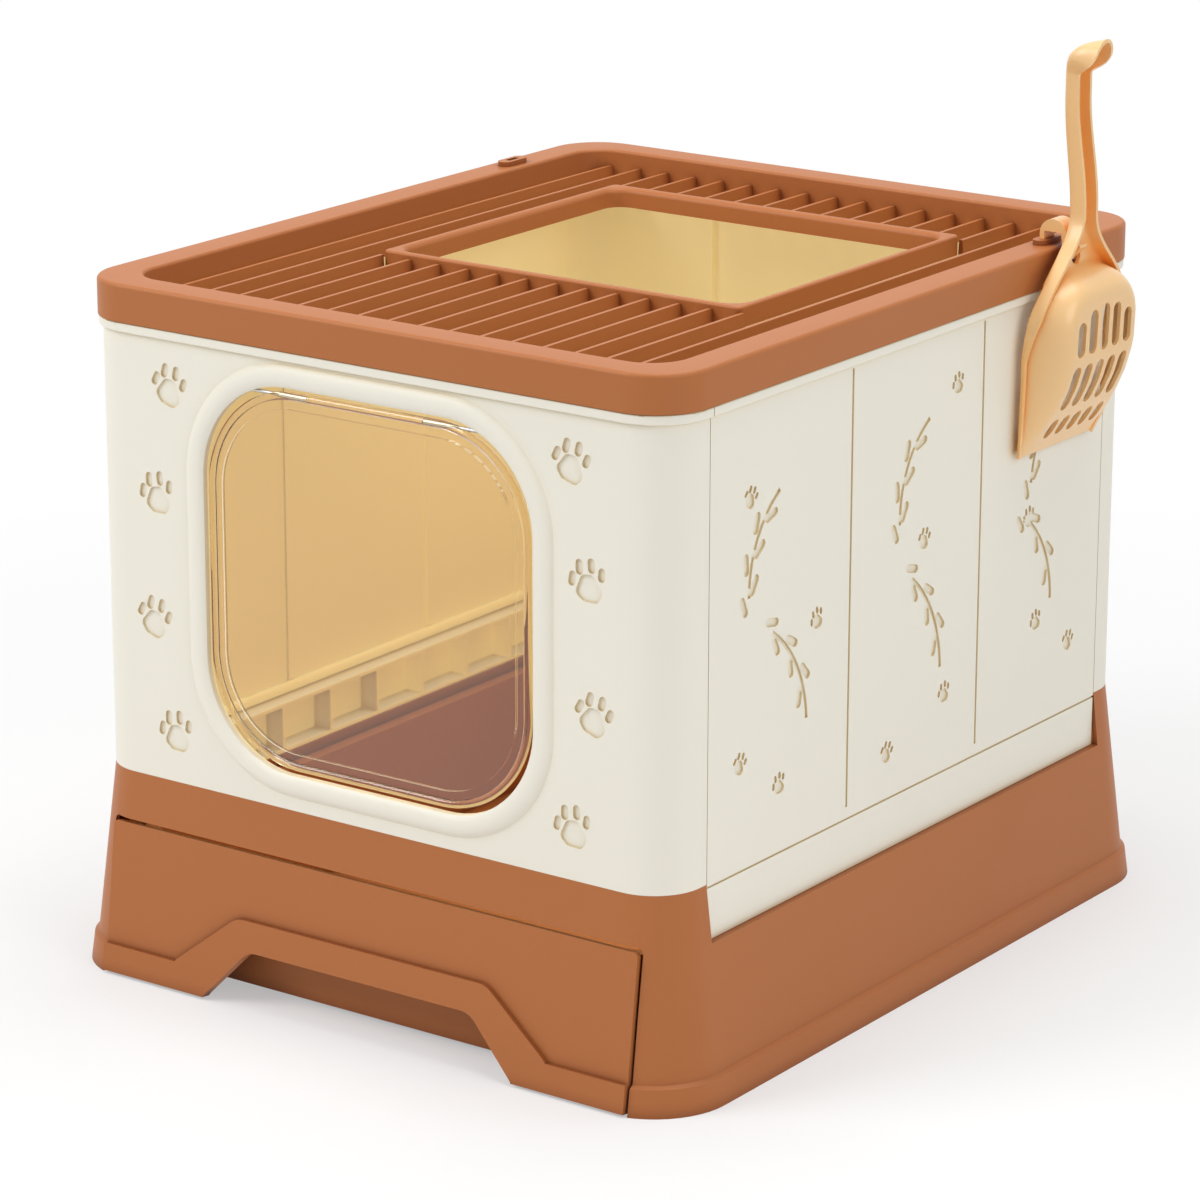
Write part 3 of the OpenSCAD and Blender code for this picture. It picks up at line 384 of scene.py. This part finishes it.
# the sheet's surface on the open side: a row of points across for each place along the back line,
# from the rim down the rail to the floor or belly, then mirrored
def scoopSheet(form):
    back, arc, end = scoopBack(form)
    height = back[:, 1]
    floor, rim = scoopFloorAndRim(form, back, arc)
    wide = scoopHalfWidth(form, height, arc, end)[:, None]
    small = np.minimum(1, wide / form["fullInset"])
    v = np.linspace(-1, 1, form["floorColumns"])
    v = (1 - form["crowding"]) * v + form["crowding"] * np.sin(np.pi / 2 * v)
    floorY = v * (wide - form["floorInset"] * small)
    floorX = floor[:, :1] + bellyRise(form, floor, height, floorY)
    floorZ = floor[:, 1:] + 0 * floorY
    share, inset = np.array(form["railPoints"]).T
    railX = floor[:, :1] + share * (rim - floor)[:, :1]
    railY = wide - inset * small
    railZ = floor[:, 1:] + share * (rim - floor)[:, 1:]
    points = np.stack([np.concatenate([railX, floorX, railX[:, ::-1]], 1),
        form["middleY"] + np.concatenate([-railY, floorY, railY[:, ::-1]], 1),
        np.concatenate([railZ, floorZ, railZ[:, ::-1]], 1)], 2)
    # the right half narrows towards the digging edge
    narrow = form["cornerShare"] * (1 - eased(height, *form["cornerZ"]))
    points[..., 1] -= np.maximum(points[..., 1] - form["middleY"], 0) * narrow[:, None]
    # the belly's steep sides are evened out by moving each point towards the middle of its neighbours
    rail = len(share)
    for _ in range(form["evenings"]):
        patch = points[:form["evenedRows"], rail:-rail]
        middle = (patch[:-2, 1:-1] + patch[2:, 1:-1] + patch[1:-1, :-2] + patch[1:-1, 2:]) / 4
        patch[1:-1, 1:-1] += form["evenedShare"] * (middle - patch[1:-1, 1:-1])
    return points


# a grid of points (rows, columns, 3) in mm as a mesh of quads
def gridMesh(name, points):
    rows, columns = points.shape[:2]
    index = np.arange(rows * columns).reshape(rows, columns)
    quads = np.stack([index[:-1, :-1], index[:-1, 1:], index[1:, 1:], index[1:, :-1]], -1).reshape(-1, 4)
    return solidMesh(name, points.reshape(-1, 3), quads)


# points in mm and quads as rows of four point numbers
def solidMesh(name, points, quads):
    mesh = bpy.data.meshes.new(name)
    mesh.vertices.add(len(points))
    mesh.vertices.foreach_set("co", (np.asarray(points, float) * mm).ravel())
    mesh.loops.add(quads.size)
    mesh.loops.foreach_set("vertex_index", quads.ravel().astype(np.int32))
    mesh.polygons.add(len(quads))
    mesh.polygons.foreach_set("loop_start", np.arange(0, quads.size, 4, dtype=np.int32))
    mesh.update(calc_edges=True)
    return mesh


# prisms along X from x0 to x1 with the outline of a bar with round ends, from (y, z0) to (y, z1),
# as one mesh of quads
def slotPrisms(name, bars, width, x0, x1):
    n = 30  # points round each outline
    side = np.arange(n)
    a = np.radians((side + 0.5) * 360 / n)
    rings, quads = [], []
    for k, (y, z0, z1) in enumerate(bars):
        ringY = y + width / 2 * np.cos(a)
        ringZ = np.where(np.sin(a) > 0, z1 - width / 2, z0 + width / 2) + width / 2 * np.sin(a)
        rings += [np.stack([0 * a + x, ringY, ringZ], 1) for x in (x0, x1)]
        low = 2 * n * k
        quads.append(np.stack([low + side, low + (side + 1) % n, low + n + (side + 1) % n, low + n + side], 1))
        # each end is closed by quads from one side of the outline to the other
        step = np.arange(n // 2 - 1)
        cap = np.stack([step, step + 1, n - 2 - step, n - 1 - step], 1)
        quads += [low + cap[:, ::-1], low + n + cap]
    return solidMesh(name, np.concatenate(rings), np.concatenate(quads))


# the sheet gets its wall outwards, then the slots and the hole for the peg are cut through it
def makeScoop(form):
    mesh = gridMesh("scoopShell", scoopSheet(form))
    work = bmesh.new()
    work.from_mesh(mesh)
    bmesh.ops.remove_doubles(work, verts=work.verts, dist=mergeWithin)
    bmesh.ops.dissolve_degenerate(work, edges=work.edges, dist=mergeWithin / 2)
    work.to_mesh(mesh)
    work.free()
    piece = bpy.data.objects.new("scoopShell", mesh)
    bpy.context.scene.collection.objects.link(piece)
    thick = piece.modifiers.new("wall", "SOLIDIFY")
    thick.thickness, thick.offset = form["wall"] * mm, -1
    middle, hole = form["middleY"], form["hole"]
    steps = np.arange(form["slotColumns"]) - (form["slotColumns"] - 1) / 2
    bars = [(middle + k * form["slotPitch"], low, high - less * k ** 2)
            for low, high, less in form["slotRows"] for k in steps]
    hang = [(middle, hole["low"], hole["high"])]
    cuts = {"siftingSlots": slotPrisms("siftingSlots", bars, form["slotWidth"], *form["slotCut"]),
            "pegHole": slotPrisms("pegHole", hang, 2 * hole["half"], *hole["cut"])}
    cutters = []
    for name, prisms in cuts.items():
        cutter = bpy.data.objects.new(name, prisms)
        bpy.context.scene.collection.objects.link(cutter)
        cut = piece.modifiers.new(name, "BOOLEAN")
        cut.operation, cut.object, cut.solver = "DIFFERENCE", cutter, "EXACT"
        cutters.append(cutter)
    shape = bpy.data.meshes.new_from_object(piece.evaluated_get(bpy.context.evaluated_depsgraph_get()))
    piece.modifiers.clear()
    piece.data = shape
    for cutter in cutters:
        bpy.data.objects.remove(cutter)
    shape.name = "scoopShell"
    shape.materials.clear()
    shape.materials.append(tan)
    shape.shade_smooth()
    shape.set_sharp_from_angle(angle=math.radians(form["creaseAngle"]))
    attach(piece, "scoop")
    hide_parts("scoop")
    print("scoop made:", len(shape.polygons), "faces")


makeScoop(scoopForm)


# seen directly, the floor shows a share of plain white, which grows with the distance from the origin
# in metres, so that the shadow stays near the box and the floor runs out into the white background
studioGround = {"half": 9, "tone": (0.86, 0.86, 0.87), "fadeFrom": 0.42, "fadeOver": 0.6, "nearShare": 0.42}


def studioFloor(ground):
    half = ground["half"]
    mesh = bpy.data.meshes.new("studioFloor")
    mesh.from_pydata([(-half, -half, 0), (half, -half, 0), (half, half, 0), (-half, half, 0)], [], [(0, 1, 2, 3)])
    floor = bpy.data.objects.new("studioFloor", mesh)
    bpy.context.scene.collection.objects.link(floor)
    s = Shader("paleFloor")
    far = s.add("ShaderNodeVectorMath", {"operation": "LENGTH"}, [s.place()], out="Value")
    fade = ((far - ground["fadeFrom"]) / ground["fadeOver"]).clamp()
    path, glossy, through = (s.add("ShaderNodeLightPath", out=f"Is {ray} Ray")
                             for ray in ("Camera", "Glossy", "Transmission"))
    seen = (path + glossy + through).clamp()
    matt = s.add("ShaderNodeBsdfDiffuse", {}, {"Color": ground["tone"]})
    glow = s.add("ShaderNodeEmission", {}, {"Color": (1, 1, 1), "Strength": 1.0})
    share = seen * (ground["nearShare"] + (1 - ground["nearShare"]) * fade)
    mesh.materials.append(s.finish(s.add("ShaderNodeMixShader", {}, [share, matt, glow])))


# square lamps: place in metres, side and watts; all look at the same point of the box
softBoxes = {
    "keyLight": {"place": (-1.6, -2.0, 2.3), "side": 1.6, "watts": 49},
    "sideLight": {"place": (2.4, -0.6, 1.5), "side": 1.6, "watts": 20},
    "topLight": {"place": (0.1, 0.3, 2.6), "side": 1.8, "watts": 38},
}
lampAim = Vector((0, 0, 0.2))


def softBox(name, facts):
    lamp = bpy.data.lights.new(name, "AREA")
    lamp.shape, lamp.size, lamp.energy = "SQUARE", facts["side"], facts["watts"]
    box = bpy.data.objects.new(name, lamp)
    box.location = facts["place"]
    box.rotation_euler = (lampAim - box.location).to_track_quat("-Z", "Y").to_euler()
    bpy.context.scene.collection.objects.link(box)


airLight = {"tone": (1, 0.99, 0.97), "strength": 0.34}


# a soft even light on the object; the camera, gloss and glass see plain white instead
def whiteWorld(light):
    world = bpy.data.worlds.new("studioAir")
    world.use_nodes = True
    nodes, links = world.node_tree.nodes, world.node_tree.links
    nodes.clear()
    end = nodes.new("ShaderNodeOutputWorld")
    air, white = nodes.new("ShaderNodeBackground"), nodes.new("ShaderNodeBackground")
    for node, colour, strength in ((air, light["tone"], light["strength"]), (white, (1, 1, 1), 1.0)):
        node.inputs["Color"].default_value, node.inputs["Strength"].default_value = (*colour, 1), strength
    rays, mix = nodes.new("ShaderNodeLightPath"), nodes.new("ShaderNodeMixShader")
    seen = rays.outputs["Is Camera Ray"]
    for ray in ("Is Glossy Ray", "Is Transmission Ray"):
        either = nodes.new("ShaderNodeMath")
        either.operation = "MAXIMUM"
        links.new(seen, either.inputs[0])
        links.new(rays.outputs[ray], either.inputs[1])
        seen = either.outputs[0]
    links.new(seen, mix.inputs[0])
    links.new(air.outputs[0], mix.inputs[1])
    links.new(white.outputs[0], mix.inputs[2])
    links.new(mix.outputs[0], end.inputs["Surface"])
    bpy.context.scene.world = world


# angles in degrees, place and reach in metres, lens and sensor in mm
view = {
    "azimuth": 35.576, "elevation": 16.761, "roll": 0.081, "place": (1.5566, -2.2001, 1.0076),
    "lens": 142.22, "sensor": 36, "reach": 50}


# a camera whose back axis is turned by azimuth from -Y towards +X, then raised by elevation
def photoCamera(view):
    a, e, roll = (math.radians(view[k]) for k in ("azimuth", "elevation", "roll"))
    back = Vector((math.sin(a) * math.cos(e), -math.cos(a) * math.cos(e), math.sin(e)))
    side = Vector((0, 0, 1)).cross(back).normalized()
    up = back.cross(side)
    right = side * math.cos(roll) + up * math.sin(roll)
    up = back.cross(right)
    data = bpy.data.cameras.new("photoCamera")
    data.lens, data.sensor_width, data.clip_end = view["lens"], view["sensor"], view["reach"]
    camera = bpy.data.objects.new("photoCamera", data)
    camera.matrix_world = Matrix.Translation(view["place"]) @ Matrix((right, up, back)).transposed().to_4x4()
    bpy.context.scene.collection.objects.link(camera)
    bpy.context.scene.camera = camera


studioFloor(studioGround)
for name, facts in softBoxes.items():
    softBox(name, facts)
whiteWorld(airLight)
photoCamera(view)
bpy.context.scene.view_settings.view_transform = "Standard"
print("stage set")
